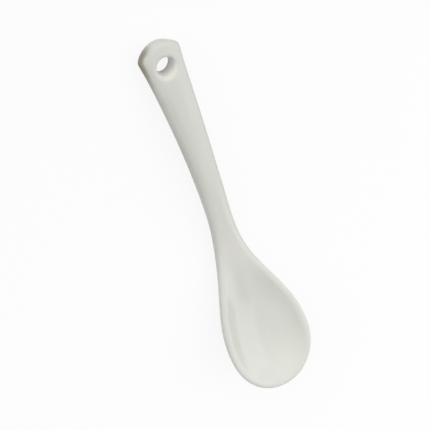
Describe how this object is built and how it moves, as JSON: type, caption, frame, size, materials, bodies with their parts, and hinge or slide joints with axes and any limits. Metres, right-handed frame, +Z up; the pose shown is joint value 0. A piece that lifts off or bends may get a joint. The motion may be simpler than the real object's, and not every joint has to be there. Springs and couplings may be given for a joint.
{
  "type": "teaspoon",
  "caption": "White glazed porcelain teaspoon with an egg-shaped bowl, an arched handle that widens to its end, and a round hanging hole.",
  "frame": {"origin": "on the table, under the middle of the spoon's length and width, with the spoon lying at rest on its bowl and handle end", "axes": "+Y from the bowl towards the end of the handle, +X to the right of that, +Z up from the table"},
  "size_m": [0.0294, 0.1358, 0.0157],
  "materials": {
    "porcelain": "glossy clear glaze"
  },
  "bodies": {
    "root": {"spoon_body": "porcelain"}
  },
  "joints": []
}
